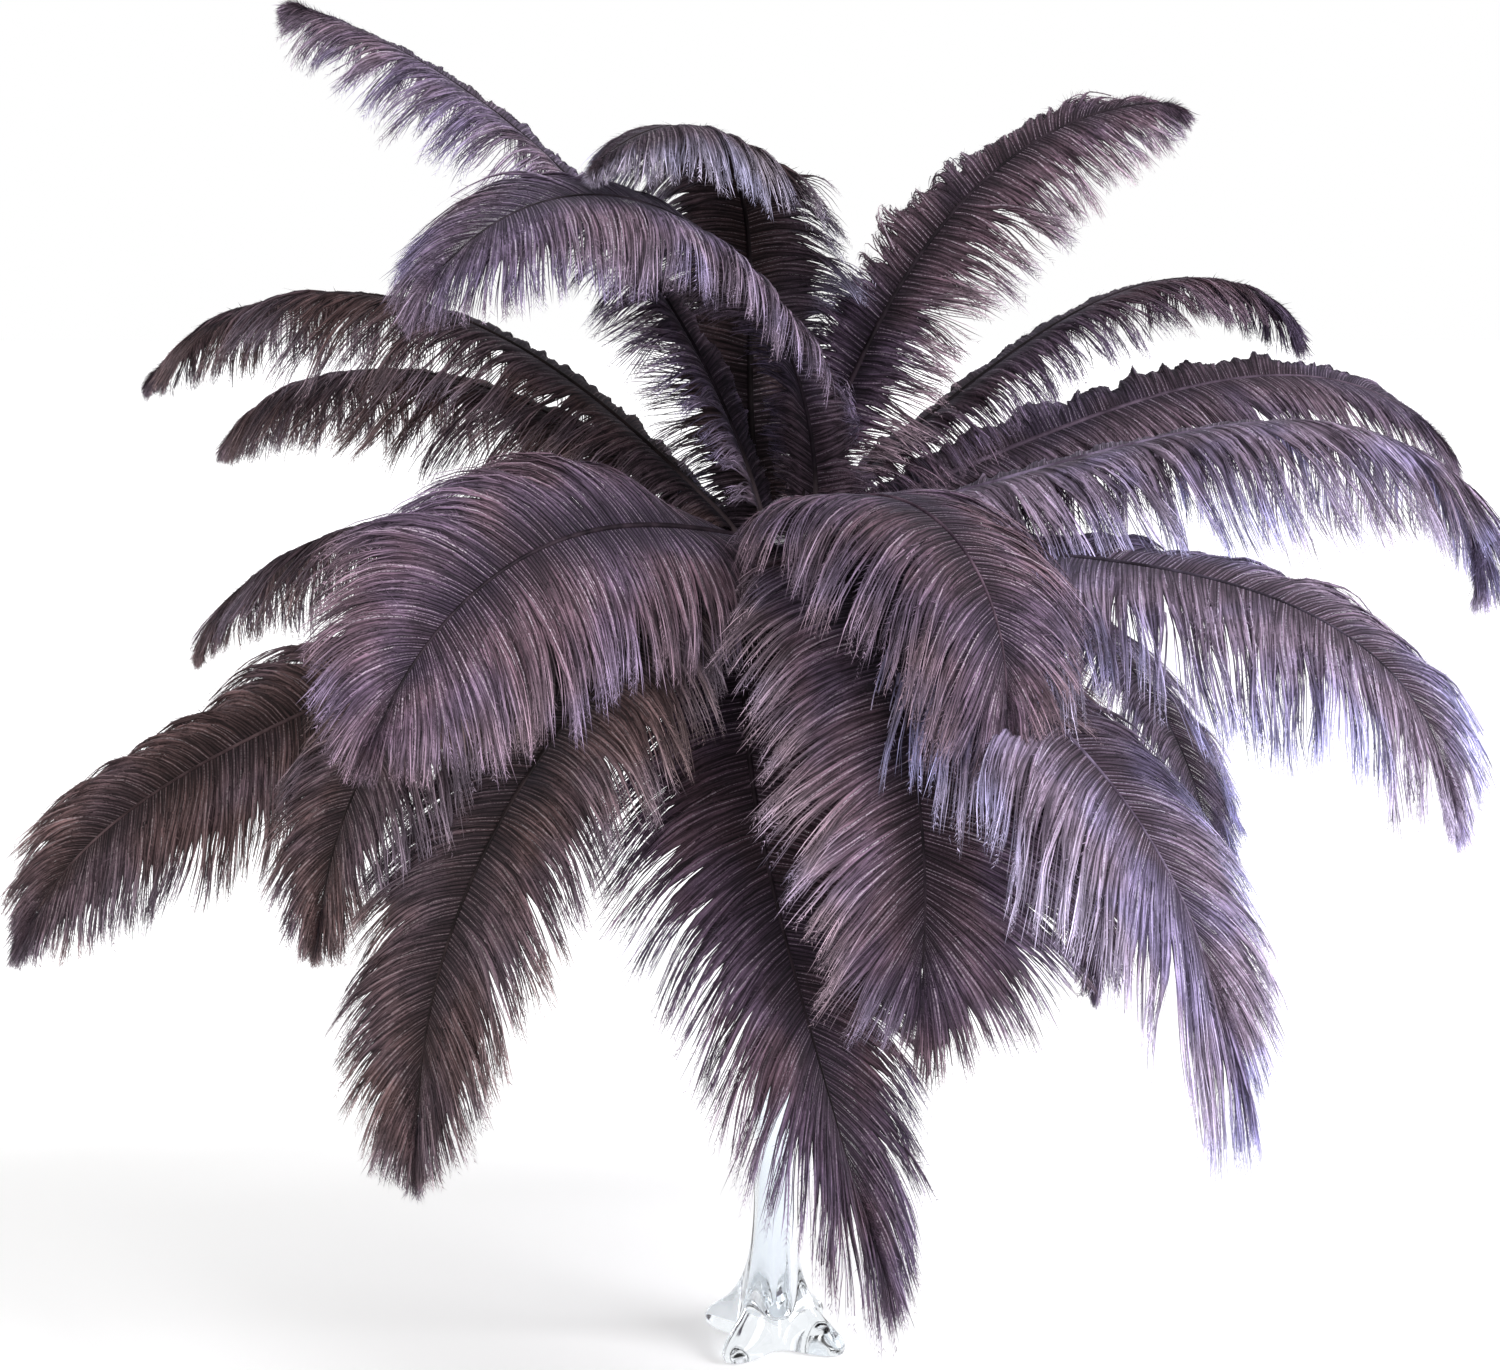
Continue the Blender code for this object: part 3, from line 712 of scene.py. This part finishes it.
# %% [markdown]
# ## One mesh for each feather
# A feather grows as one piece, so its shaft and its down become one mesh with two materials.
# Faces could be added one at a time with bmesh, but tens of thousands of them are much
# quicker as one list. The shaft's sides come first and its two ends last, so that we know
# which faces are horn and which are down.

# %% feather meshes
# the export bakes on the first, our shader reads the second
MAP_LAYERS = ("OFBake", "plume")    # two copies of one colour map; our shader reads the second


def finished_mesh(name, down, shaft_faces, shaft_ends, materials):
    """One mesh: the shaft's sides first, then the down, then the shaft's ends."""
    faces = [quad.tolist() for part in down.quads for quad in part]
    faces += [triangle.tolist() for part in down.triangles for triangle in part]
    faces += shaft_ends
    mesh = bpy.data.meshes.new(name)
    mesh.from_pydata(np.concatenate(down.points), [], faces)
    corner = np.empty(len(mesh.loops), np.int32)
    mesh.loops.foreach_get("vertex_index", corner)
    places = np.concatenate(down.places)[corner].astype(np.float32)
    for layer_name in MAP_LAYERS:
        layer = mesh.uv_layers.new(name=layer_name)
        layer.uv.foreach_set("vector", places.ravel())
    mesh.shade_smooth()
    for material in materials:
        mesh.materials.append(material)
    slots = np.zeros(len(faces), np.int32)
    slots[:shaft_faces] = 1
    slots[-len(shaft_ends):] = 1
    mesh.polygons.foreach_set("material_index", slots)
    return mesh


def grow_feather(name, course, seed, materials):
    rng = np.random.default_rng(seed)
    down = Down()
    shaft_faces, shaft_ends = add_shaft(down, course)
    count = barb_count(course)
    for hand in (1.0, -1.0):
        lines, along = barb_lines(course, hand, count, rng)
        for wisps in WISPS:
            lines = gathered(lines, rng, course.ragged, **wisps)
        aside = towards_neighbours(lines)
        tangent, across, over = carried_frames(lines, along, hand)
        add_web(down, hand, lines, aside, over, course.ragged)
        twist = rng.normal(0.0, TWIST, (count, 1)) * np.linspace(0.0, 1.0, lines.shape[1])
        frames = (tangent, *twisted(across, over, twist))
        add_strands(down, hand, lines, aside, frames, rng, course.ragged)
        add_barbules(down, hand, lines, frames, rng)
    mesh = finished_mesh(name, down, shaft_faces, shaft_ends, materials)
    feather = bpy.data.objects.new(name, mesh)
    bpy.context.scene.collection.objects.link(feather)
    return feather


print("colour maps on every feather:", ", ".join(MAP_LAYERS))

# %% [markdown]
# ## Writing materials as sums
# A material is a tree of nodes. Wiring it by hand hides the idea, so a small class lets us
# write the sums in Python: adding two wires makes the Math node that adds them. A bench
# holds one tree, and its node method makes every other node.

# %% node wiring
class Wire:
    """An output of a node, which can be used in sums."""

    def __init__(self, bench, socket):
        self.bench = bench
        self.socket = socket

    def also(self, output):
        """Another output of the same node."""
        return Wire(self.bench, self.socket.node.outputs[output])

    def sum(self, operation, *values):
        """A Math node that works on these values and wires."""
        return self.bench.node("ShaderNodeMath", {"operation": operation},
                               dict(enumerate(values)))

    def __add__(self, other):
        return self.sum("ADD", self, other)

    def __radd__(self, other):
        return self.sum("ADD", other, self)

    def __sub__(self, other):
        return self.sum("SUBTRACT", self, other)

    def __rsub__(self, other):
        return self.sum("SUBTRACT", other, self)

    def __mul__(self, other):
        return self.sum("MULTIPLY", self, other)

    def __rmul__(self, other):
        return self.sum("MULTIPLY", other, self)

    def __truediv__(self, other):
        return self.sum("DIVIDE", self, other)

    def __rtruediv__(self, other):
        return self.sum("DIVIDE", other, self)

    def __abs__(self):
        return self.sum("ABSOLUTE", self)

    def floor(self):
        return self.sum("FLOOR", self)

    def fraction(self):
        return self.sum("FRACT", self)

    def sign(self):
        return self.sum("SIGN", self)

    def larger(self, other):
        return self.sum("MAXIMUM", self, other)

    def around_one(self, depth):
        """1 where this value is a half, and half the depth more or less where it is 1 or 0."""
        return (1.0 - 0.5 * depth) + depth * self

    def between(self, low, high, to_low=0.0, to_high=1.0):
        """This value eased from low..high to to_low..to_high, and held beyond them."""
        return self.bench.node(
            "ShaderNodeMapRange", {"interpolation_type": "SMOOTHSTEP"},
            {"Value": self, "From Min": low, "From Max": high,
             "To Min": to_low, "To Max": to_high})


class Bench:
    """The node tree of a material or a world, with its main shader."""

    def __init__(self, owner, shader="Principled BSDF"):
        owner.use_nodes = True
        self.owner = owner
        self.tree = owner.node_tree
        self.shader = self.tree.nodes[shader]

    def put(self, socket, value):
        if isinstance(value, Wire):
            self.tree.links.new(value.socket, socket)
        elif isinstance(value, tuple) and len(value) == 3 and socket.type == "RGBA":
            socket.default_value = value + (1.0,)
        else:
            socket.default_value = value

    def node(self, kind, settings, sockets, out=0):
        """A new node: its settings first, then the values or wires of its sockets."""
        made = self.tree.nodes.new(kind)
        for key, value in settings.items():
            setattr(made, key, value)
        for key, value in sockets.items():
            self.put(made.inputs[key], value)
        return Wire(self, made.outputs[out])

    def set(self, **sockets):
        """Values or wires for the main shader, an underscore for each space in a name."""
        for key, value in sockets.items():
            self.put(self.shader.inputs[key.replace("_", " ")], value)

    def mix(self, share, first, second):
        """Colours first and second, mixed."""
        return self.node("ShaderNodeMix", {"data_type": "RGBA"},
                         {0: share, 6: first, 7: second}, out=2)

    def times(self, vector, factors):
        """A vector's or a colour's three numbers, each multiplied by its factor."""
        return self.node("ShaderNodeVectorMath", {"operation": "MULTIPLY"},
                         {0: vector, 1: factors})

    def scaled(self, colour, factor):
        """The colour made lighter or darker by a changing factor."""
        grey = self.node("ShaderNodeCombineColor", {}, {0: factor, 1: factor, 2: factor})
        return self.node("ShaderNodeMix", {"data_type": "RGBA", "blend_type": "MULTIPLY"},
                         {0: 1.0, 6: colour, 7: grey}, out=2)

    def noise(self, scale, detail=3.0, roughness=0.5):
        """Noise in the object's own metres: its lumps are about 1 / scale across."""
        place = self.node("ShaderNodeTexCoord", {}, {}, out="Object")
        return self.node("ShaderNodeTexNoise", {},
                         {"Vector": place, "Scale": scale, "Detail": detail,
                          "Roughness": roughness})

    def flat_noise(self, place, detail=2.0):
        """Noise on the flat colour map."""
        return self.node("ShaderNodeTexNoise", {"noise_dimensions": "2D"},
                         {"Vector": place, "Scale": 1.0, "Detail": detail})


# %% [markdown]
# ## Dyed down, with painted light and shade
# The plumes were dyed in one bath but took it differently: brown-plum in the dense parts,
# mauve in the open down and a cool lavender towards the tips. The dark near the shaft is
# partly dye and partly painted shade of the dense down, and the pale tips are partly dye and
# partly painted light where they catch the window. Along every barb the rib is paler than its
# down, partly its own colour and partly a painted highlight broken into glints; the grooves
# between the barbs get painted shade, and the brightest hair streaks are painted glints. The
# colour map tells the shader where it is: the column gives the barb, the distance from the
# map's middle how far along it, and the place inside the column how far from the rib.

# %% dyes
# Shades of dye with painted light and shade in them: the colour near the shaft is partly painted
# shade of the dense down, the tips' colour partly painted light, and the ribs' colour partly a
# painted highlight.
DYES_AND_PAINTED_LIGHT = {                    # near the shaft, halfway out, at the tips, on the ribs
    # The left plumes' brown: partly dye, partly painted shade of their shadowed side.
    "shaded_brown": ((0.026, 0.015, 0.016), (0.100, 0.064, 0.069), (0.215, 0.163, 0.180),
              (0.300, 0.250, 0.262)),
    # The curled plume: painted shade under it, near the shaft and halfway out, and a painted
    # silvery sheen on its tips.
    "shaded_then_sheened": ((0.022, 0.013, 0.015), (0.060, 0.040, 0.048), (0.330, 0.300, 0.380),
                 (0.280, 0.245, 0.270)),
    "plum": ((0.026, 0.015, 0.022), (0.076, 0.047, 0.066), (0.170, 0.126, 0.180),
             (0.330, 0.275, 0.325)),
    "mauve": ((0.024, 0.014, 0.023), (0.102, 0.065, 0.090), (0.210, 0.154, 0.204),
              (0.420, 0.355, 0.410)),
    "pale_mauve": ((0.022, 0.013, 0.021), (0.105, 0.068, 0.096), (0.290, 0.228, 0.290),
                   (0.480, 0.410, 0.480)),
    "lavender": ((0.036, 0.023, 0.036), (0.112, 0.079, 0.114), (0.220, 0.178, 0.258),
                 (0.440, 0.390, 0.460)),
    # The right plumes: partly dye, partly painted window light that makes them lighter and bluer.
    "lit_blue_lavender": ((0.050, 0.034, 0.054), (0.200, 0.158, 0.238), (0.520, 0.485, 0.700),
                      (0.580, 0.540, 0.660)),
}
print(len(DYES_AND_PAINTED_LIGHT), "shades")

# %% dyed down
OTHER_VANE = 500.0          # keeps the numbers of the two vanes' barbs apart
PATCH_SCALE = 9.0           # of patches where the tips' shade reaches further in
HUE_SCALE = 14.0            # of warmer and cooler stretches
MOTTLE_SCALE = 70.0
FUZZ_SCALE = 900.0
HAIR_GRAIN = (5.0, 9.0)     # lumps of the hairs' noise: across one barb, up the whole map
HALFWAY_FROM_TO = (0.03, 0.42)  # shares of a barb's length over which that shade comes in
TIPS_FROM_TO = (0.45, 1.0)
PATCH_DEPTH = 0.8           # how far the patches move the tips' shade along the barb
HUE_FROM_TO = (0.40, 0.62)      # noise values between which warm turns to cool
WARMER = (1.05, 0.99, 0.93)
COOLER = (0.94, 0.98, 1.12)
BARB_DEPTH = 0.72           # how much barbs differ in lightness
MOTTLE_DEPTH = 0.64
FUZZ_DEPTH = 0.60
# Streaks of the hairs: the darker ones the down's own tone, the brightest ones painted glints.
HAIR_STREAKS_AND_GLINTS = (0.25, 0.75, 0.30, 1.75)   # here and below: noise from and to, result from and to
# Painted shade in the grooves between barbs, away from the rib, and painted light along the rib.
GROOVE_SHADE_AND_RIB_LIGHT = (0.30, 1.0, 1.25, 0.30)    # darker away from the rib
# The rib's colour is partly its own paleness and partly a painted highlight, broken into painted
# glints over barbs and along its length.
RIB_FADES = (0.40, 0.85, 1.0, 0.10)     # towards the barb's end
RIB_BARBS = (0.2, 1.0, 0.10, 1.0)       # paler on some barbs than on others
RIB_FUZZ = (0.40, 0.60, 0.15, 1.0)      # and broken along its length
RIB_EDGE = (0.05, 0.12)     # share of the down's reach where the rib ends
DOWN_ROUGHNESS = 0.90
RIB_POLISH = 0.45           # how much smoother the rib is


def dyed_down_with_painted_light(name, dye, count):
    near, halfway, tips, rib_colour_and_glints = DYES_AND_PAINTED_LIGHT[dye]
    bench = Bench(bpy.data.materials.new(name + "_down"))
    place = bench.node("ShaderNodeUVMap", {"uv_map": MAP_LAYERS[1]}, {})
    u = bench.node("ShaderNodeSeparateXYZ", {}, {0: place})
    v = u.also(1)
    column = u * float(count)
    reached = (abs(v - 0.5) - MAP_SHAFT_BAND) / (0.5 - MAP_SHAFT_BAND)
    from_rib = abs(column.fraction() - 0.5) / MAP_COLUMN
    barb_number = column.floor() + (v - 0.5).sign() * OTHER_VANE
    chance = bench.node("ShaderNodeTexWhiteNoise", {"noise_dimensions": "1D"},
                        {"W": barb_number})
    patches = bench.noise(PATCH_SCALE)
    hue = bench.noise(HUE_SCALE, 2.0)
    mottle = bench.noise(MOTTLE_SCALE, 4.0, 0.6)
    fuzz = bench.noise(FUZZ_SCALE, 2.0, 0.6)
    across, along = HAIR_GRAIN
    hairs = bench.flat_noise(bench.times(place, (count * across, along, 1.0)))

    # Painted shade: the dark colour near the shaft is partly dye and partly painted shade of the
    # dense down.
    colour = bench.mix(reached.between(*HALFWAY_FROM_TO), near, halfway)
    # Painted light: the pale tips are partly dye and partly painted light where they catch the
    # window.
    outer = (reached + (patches - 0.5) * PATCH_DEPTH).between(*TIPS_FROM_TO)
    colour = bench.mix(outer, colour, tips)
    colour = bench.mix(hue.between(*HUE_FROM_TO), bench.times(colour, WARMER),
                       bench.times(colour, COOLER))
    light = chance.around_one(BARB_DEPTH) * mottle.around_one(MOTTLE_DEPTH)
    light = light * fuzz.around_one(FUZZ_DEPTH)
    # The hair streaks' brightest lumps are painted glints, and the last factor paints shade in
    # the grooves between barbs and light along the rib.
    light = light * hairs.between(*HAIR_STREAKS_AND_GLINTS) * from_rib.between(*GROOVE_SHADE_AND_RIB_LIGHT)
    colour = bench.scaled(colour, light)
    # Painted highlight: the pale rib is partly its own colour and partly a painted highlight and
    # glints.
    rib = (1.0 - from_rib.between(*RIB_EDGE)) * reached.between(*RIB_FADES)
    rib = rib * chance.between(*RIB_BARBS) * fuzz.between(*RIB_FUZZ)
    colour = bench.mix(rib, colour, rib_colour_and_glints)
    bench.set(Base_Color=colour, Roughness=DOWN_ROUGHNESS - RIB_POLISH * rib, IOR=1.45,
              Specular_IOR_Level=0.25, Sheen_Weight=0.12, Sheen_Roughness=0.40,
              Sheen_Tint=(0.80, 0.74, 0.95, 1.0))
    return bench.owner


# %% [markdown]
# ## Horn
# The shafts are horn. Horn takes the dye in streaks, the bare quill takes less of it, and
# some of the shafts are paler than the others, partly their own paler horn and partly a
# painted glint along the shaft.

# %% dyed shaft
QUILL_COLOUR = (0.150, 0.112, 0.125, 1.0)
QUILL_ENDS = (0.30, 0.36)   # shares of the shaft over which the quill's colour ends
STREAK_SCALE = 60.0
STREAK_FROM_TO = (0.35, 0.70)
DARK_SHAFT = 0.20           # lightness over that of the down
PALE_SHAFT = 1.10
STREAK_LIGHT = 0.2          # how much of that lightness streaks add
QUILL_LIGHT = 0.7           # lightness of the quill's darkest places, over its colour
QUILL_STREAKS = 0.5         # how much streaks add there
HORN_ROUGHNESS = 0.45
STREAK_ROUGHNESS = 0.25     # how much rougher the streaks are
# Shafts that are painted paler: partly paler horn, partly a painted glint.
PALE_SHAFTS = ("feather_far_left", "feather_front_right_short",
               "feather_front_right_hanging", "feather_right_long", "feather_right_high")


def dyed_shaft(name, dye):
    near, halfway = DYES_AND_PAINTED_LIGHT[dye][:2]
    # Pale shafts: partly paler horn and partly a painted glint.
    lightness = PALE_SHAFT if name in PALE_SHAFTS else DARK_SHAFT
    bench = Bench(bpy.data.materials.new(name + "_shaft"))
    streaks = bench.noise(STREAK_SCALE, 4.0, 0.6)
    colour = bench.mix(streaks.between(*STREAK_FROM_TO), near, halfway)
    colour = bench.scaled(colour, lightness + STREAK_LIGHT * streaks)
    quill = bench.scaled(QUILL_COLOUR, QUILL_LIGHT + QUILL_STREAKS * streaks)
    place = bench.node("ShaderNodeUVMap", {"uv_map": MAP_LAYERS[1]}, {})
    along = bench.node("ShaderNodeSeparateXYZ", {}, {0: place})
    colour = bench.mix(along.between(*QUILL_ENDS), quill, colour)
    bench.set(Base_Color=colour, Roughness=HORN_ROUGHNESS + STREAK_ROUGHNESS * streaks,
              IOR=1.50, Specular_IOR_Level=0.12)
    return bench.owner


print(len(PALE_SHAFTS), "pale shafts")

# %% [markdown]
# ## Growing the feathers
# Every feather has a seed of its own, so that a change to one leaves the others as they are.
# The new mesh stands for the CAD model's plain sheet, which stays behind for collisions,
# hidden.

# %% grow the feathers
FIRST_SEED = 100


def all_feathers():
    triangles = 0
    for seed, (name, (dye, measures)) in enumerate(FEATHERS.items(), FIRST_SEED):
        course = Course(**measures)
        barbs = barb_count(course)
        materials = dyed_down_with_painted_light(name, dye, barbs), dyed_shaft(name, dye)
        feather = grow_feather(name + "_plume", course, seed, materials)
        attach(feather, "root")
        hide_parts(name)
        faces = len(feather.data.loops) - 2 * len(feather.data.polygons)
        triangles += faces
        print(f"{name}: {2 * barbs} barbs, {faces} triangles")
    return triangles


print("down of all the feathers:", all_feathers(), "triangles")

# %% [markdown]
# ## The vase
# The vase was blown and pressed from one gather of clear glass: a slim trumpet on a heavy
# star foot, with a hollow that widens again low down. A turned profile alone can't make the
# star, so we build rings whose radius swings between ridge and hollow near the floor, and
# close them with the inner wall.

# %% vase shape
MOUTH_RADIUS = 0.033
FOOT_REACH = 0.051          # from the axis to the tip of each of the four feet
FOOT_WAIST = 0.0235         # from the axis to the hollow between two feet
FOOT_TURN = -34.0           # azimuth of the first foot, degrees
FOOT_SHARPNESS = 1.7
FOOT_COUNT = 4
GLASS_FLOOR = 0.014         # thickness of the glass under the hollow
VASE_SIDES = 128
RINGS_A_STEP = 5

OUTSIDE = (                 # height, reach of the ridges, reach of the hollows
    (0.000, FOOT_REACH - 0.001, FOOT_WAIST),
    (0.004, FOOT_REACH, FOOT_WAIST),
    (0.009, 0.0480, 0.0232),
    (0.014, 0.0415, 0.0226),
    (0.020, 0.0340, 0.0215),
    (0.028, 0.0275, 0.0200),
    (0.038, 0.0220, 0.0182),
    (0.050, 0.0180, 0.0160),
    (0.065, 0.0150, 0.0140),
    (0.085, 0.0130, 0.0127),
    (0.120, 0.0122, 0.0122),
    (0.170, 0.0125, 0.0125),
    (0.240, 0.0138, 0.0138),
    (0.310, 0.0160, 0.0160),
    (0.350, 0.0180, 0.0180),
    (0.400, 0.0232, 0.0232),
    (0.440, 0.0284, 0.0284),
    (0.461, MOUTH_RADIUS - 0.0005, MOUTH_RADIUS - 0.0005),
    (VASE_HEIGHT, MOUTH_RADIUS - 0.0012, MOUTH_RADIUS - 0.0012),
)
INSIDE = (                  # height, radius, from the rim down
    (0.4640, 0.0306),
    (0.4610, 0.0300),
    (0.4400, 0.0254),
    (0.4000, 0.0206),
    (0.3500, 0.0150),
    (0.3100, 0.0130),
    (0.2400, 0.0108),
    (0.1700, 0.0095),
    (0.1200, 0.0092),
    (0.0850, 0.0098),
    (0.0650, 0.0110),
    (0.0480, 0.0126),
    (0.0340, 0.0138),
    (0.0240, 0.0140),
    (GLASS_FLOOR + 0.004, 0.0130),
    (GLASS_FLOOR + 0.001, 0.0105),
    (GLASS_FLOOR, 0.0060),
)
print("vase:", len(OUTSIDE), "sizes outside and", len(INSIDE), "inside")

# %% [markdown]
# The sizes above are few, so a smooth curve has to run through them. Cubic pieces between
# each two sizes, with a shared slope where they meet, do that without overshooting much.

# %% blow the vase
SHARP_RIM = 50.0            # degrees; sharper edges stay edges
GLASS_TINT = (0.90, 0.935, 0.965, 1.0)
GLASS_WAVES = 35.0          # noise scale of the faint unevenness of its surface
GLASS_SMOOTHEST = 0.03
GLASS_UNEVENNESS = 0.05


def smoothed_rows(rows, fine):
    """The rows with fine steps between each two, on a curve through them all."""
    rows = np.array(rows)
    before = np.vstack([2 * rows[0] - rows[1], rows[:-1]])
    after = np.vstack([rows[1:], 2 * rows[-1] - rows[-2]])
    gap = np.linalg.norm(np.diff(rows, axis=0), axis=1)
    slope = (after - before) / (np.append(gap[0], gap) + np.append(gap, gap[-1]))[:, None]
    out = []
    for k in range(len(rows) - 1):
        for t in np.arange(fine) / fine:
            weights = np.array([2 * t**3 - 3 * t**2 + 1, (t**3 - 2 * t**2 + t) * gap[k],
                                3 * t**2 - 2 * t**3, (t**3 - t**2) * gap[k]])
            out.append(weights @ np.array([rows[k], slope[k], rows[k + 1], slope[k + 1]]))
    return np.array(out + [rows[-1]])


def vase_rings():
    turn = np.linspace(0.0, 2.0 * math.pi, VASE_SIDES, endpoint=False)
    wave = (1.0 + np.cos(FOOT_COUNT * turn)) / 2.0
    angles = turn + math.radians(FOOT_TURN)
    rings = []
    for height, ridge, hollow in smoothed_rows(OUTSIDE, RINGS_A_STEP):
        rings.append((height, hollow + (ridge - hollow) * wave ** FOOT_SHARPNESS))
    for height, radius in smoothed_rows(INSIDE, RINGS_A_STEP):
        rings.append((height, np.full(VASE_SIDES, radius)))
    return np.stack([np.stack([radius * np.cos(angles), radius * np.sin(angles),
                               np.full(VASE_SIDES, height)], 1) for height, radius in rings])


def clear_glass():
    bench = Bench(bpy.data.materials.new("clear_glass_vase"))
    waves = bench.noise(GLASS_WAVES, 2.0)
    bench.set(Base_Color=GLASS_TINT, Roughness=GLASS_SMOOTHEST + GLASS_UNEVENNESS * waves,
              IOR=1.46, Transmission_Weight=1.0)
    return bench.owner


def blow_vase():
    rings = vase_rings()
    number = np.arange(rings.shape[0] * VASE_SIDES).reshape(rings.shape[:2])
    after = np.roll(number, -1, axis=1)
    quads = np.stack([number[:-1], after[:-1], after[1:], number[1:]], -1).reshape(-1, 4)
    ends = [number[0, ::-1].tolist(), number[-1].tolist()]
    mesh = bpy.data.meshes.new("vase_glass")
    mesh.from_pydata(rings.reshape(-1, 3), [], quads.tolist() + ends)
    mesh.shade_smooth()
    mesh.set_sharp_from_angle(angle=math.radians(SHARP_RIM))
    mesh.materials.append(clear_glass())
    vase = bpy.data.objects.new("vase_glass", mesh)
    bpy.context.scene.collection.objects.link(vase)
    return vase


vase = blow_vase()
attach(vase, "root")
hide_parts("vase")
print("vase:", len(vase.data.polygons), "faces")

# %% [markdown]
# ## Studio
# The photo is cut out on white, so the floor and the world are both nearly white and the
# horizon melts away. The light comes mainly from the right in front, as from a large window,
# and a weaker one fills in from the front left. Area lamps would do, but a sun lamp with a
# wide angle lights every plume alike, and its shadows between them stay soft.

# %% studio
FLOOR_DROP = 0.001          # keeps the floor just clear of the vase's underside
FLOOR_REACH = 40.0
FLOOR_WHITE = (0.90, 0.90, 0.90, 1.0)
FLOOR_GLOW = 0.30
WORLD_SEEN = 1.0            # brightness of the world to the eye and through glass
WORLD_GIVEN = 0.56          # and as a light
WHITE = (1.0, 1.0, 1.0, 1.0)
SUNS = (                    # name, where it comes from, width in degrees, strength, colour
    ("window", (0.78, -0.36, 0.50), 40.0, 3.5, (0.97, 0.97, 1.0)),
    ("fill", (-0.30, -0.70, 0.55), 60.0, 0.75, (1.0, 0.97, 0.94)),
)


def pale_floor():
    bench = Bench(bpy.data.materials.new("pale_floor"))
    bench.set(Base_Color=FLOOR_WHITE, Roughness=0.9, Specular_IOR_Level=0.1,
              Emission_Color=WHITE, Emission_Strength=FLOOR_GLOW)
    mesh = bpy.data.meshes.new("floor")
    corners = [(FLOOR_REACH * x, FLOOR_REACH * y, -FLOOR_DROP)
               for x, y in ((-1, -1), (1, -1), (1, 1), (-1, 1))]
    mesh.from_pydata(corners, [], [(0, 1, 2, 3)])
    mesh.materials.append(bench.owner)
    floor = bpy.data.objects.new("floor", mesh)
    bpy.context.scene.collection.objects.link(floor)


def soft_sun(name, comes_from, width, strength, colour):
    lamp = bpy.data.lights.new(name, "SUN")
    lamp.angle = math.radians(width)
    lamp.energy = strength
    lamp.color = colour
    light = bpy.data.objects.new(name, lamp)
    light.rotation_euler = Vector(comes_from).to_track_quat("Z", "Y").to_euler()
    bpy.context.scene.collection.objects.link(light)


def white_world():
    """A world that looks bright to the eye and in glass, but gives less light."""
    bench = Bench(bpy.data.worlds.new("white_studio"), "Background")
    to_eye = bench.node("ShaderNodeLightPath", {}, {}, out="Is Camera Ray")
    direct = to_eye.larger(to_eye.also("Is Transmission Ray"))
    bench.set(Color=WHITE, Strength=WORLD_GIVEN + (WORLD_SEEN - WORLD_GIVEN) * direct)
    bpy.context.scene.world = bench.owner


pale_floor()
white_world()
for sun in SUNS:
    soft_sun(*sun)
bpy.context.scene.view_settings.view_transform = "Standard"
print("suns:", ", ".join(sun[0] for sun in SUNS))
